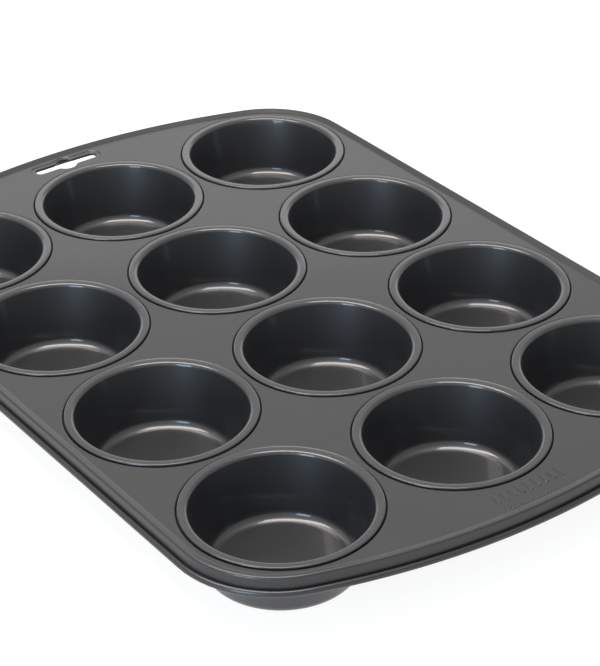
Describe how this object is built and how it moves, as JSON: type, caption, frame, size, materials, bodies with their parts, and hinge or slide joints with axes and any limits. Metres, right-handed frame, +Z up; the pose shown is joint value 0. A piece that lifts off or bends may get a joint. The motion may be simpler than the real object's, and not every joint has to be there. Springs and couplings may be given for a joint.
{
  "type": "muffin tin",
  "caption": "Shallow non-stick baking tin: round tapered cups crimped into a plate with bowed ends, a raised border, a rolled edge and a hanging slot.",
  "frame": {"origin": "on the surface that the cups stand on, under the middle of the plate", "axes": "+X along the tin, away from the hanging slot, +Y across it, +Z up out of the cups"},
  "size_m": [0.3822, 0.2694, 0.0298],
  "materials": {
    "nonstick_coating": "satin dark grey non-stick coating on steel sheet",
    "wire_steel": "drawn"
  },
  "bodies": {
    "root": {"plate": "nonstick_coating", "cup_a1": "nonstick_coating", "cup_a2": "nonstick_coating", "cup_a3": "nonstick_coating", "cup_b1": "nonstick_coating", "cup_b2": "nonstick_coating", "cup_b3": "nonstick_coating", "cup_c1": "nonstick_coating", "cup_c2": "nonstick_coating", "cup_c3": "nonstick_coating", "cup_d1": "nonstick_coating", "cup_d2": "nonstick_coating", "cup_d3": "nonstick_coating", "rim_wire": "wire_steel"}
  },
  "joints": []
}
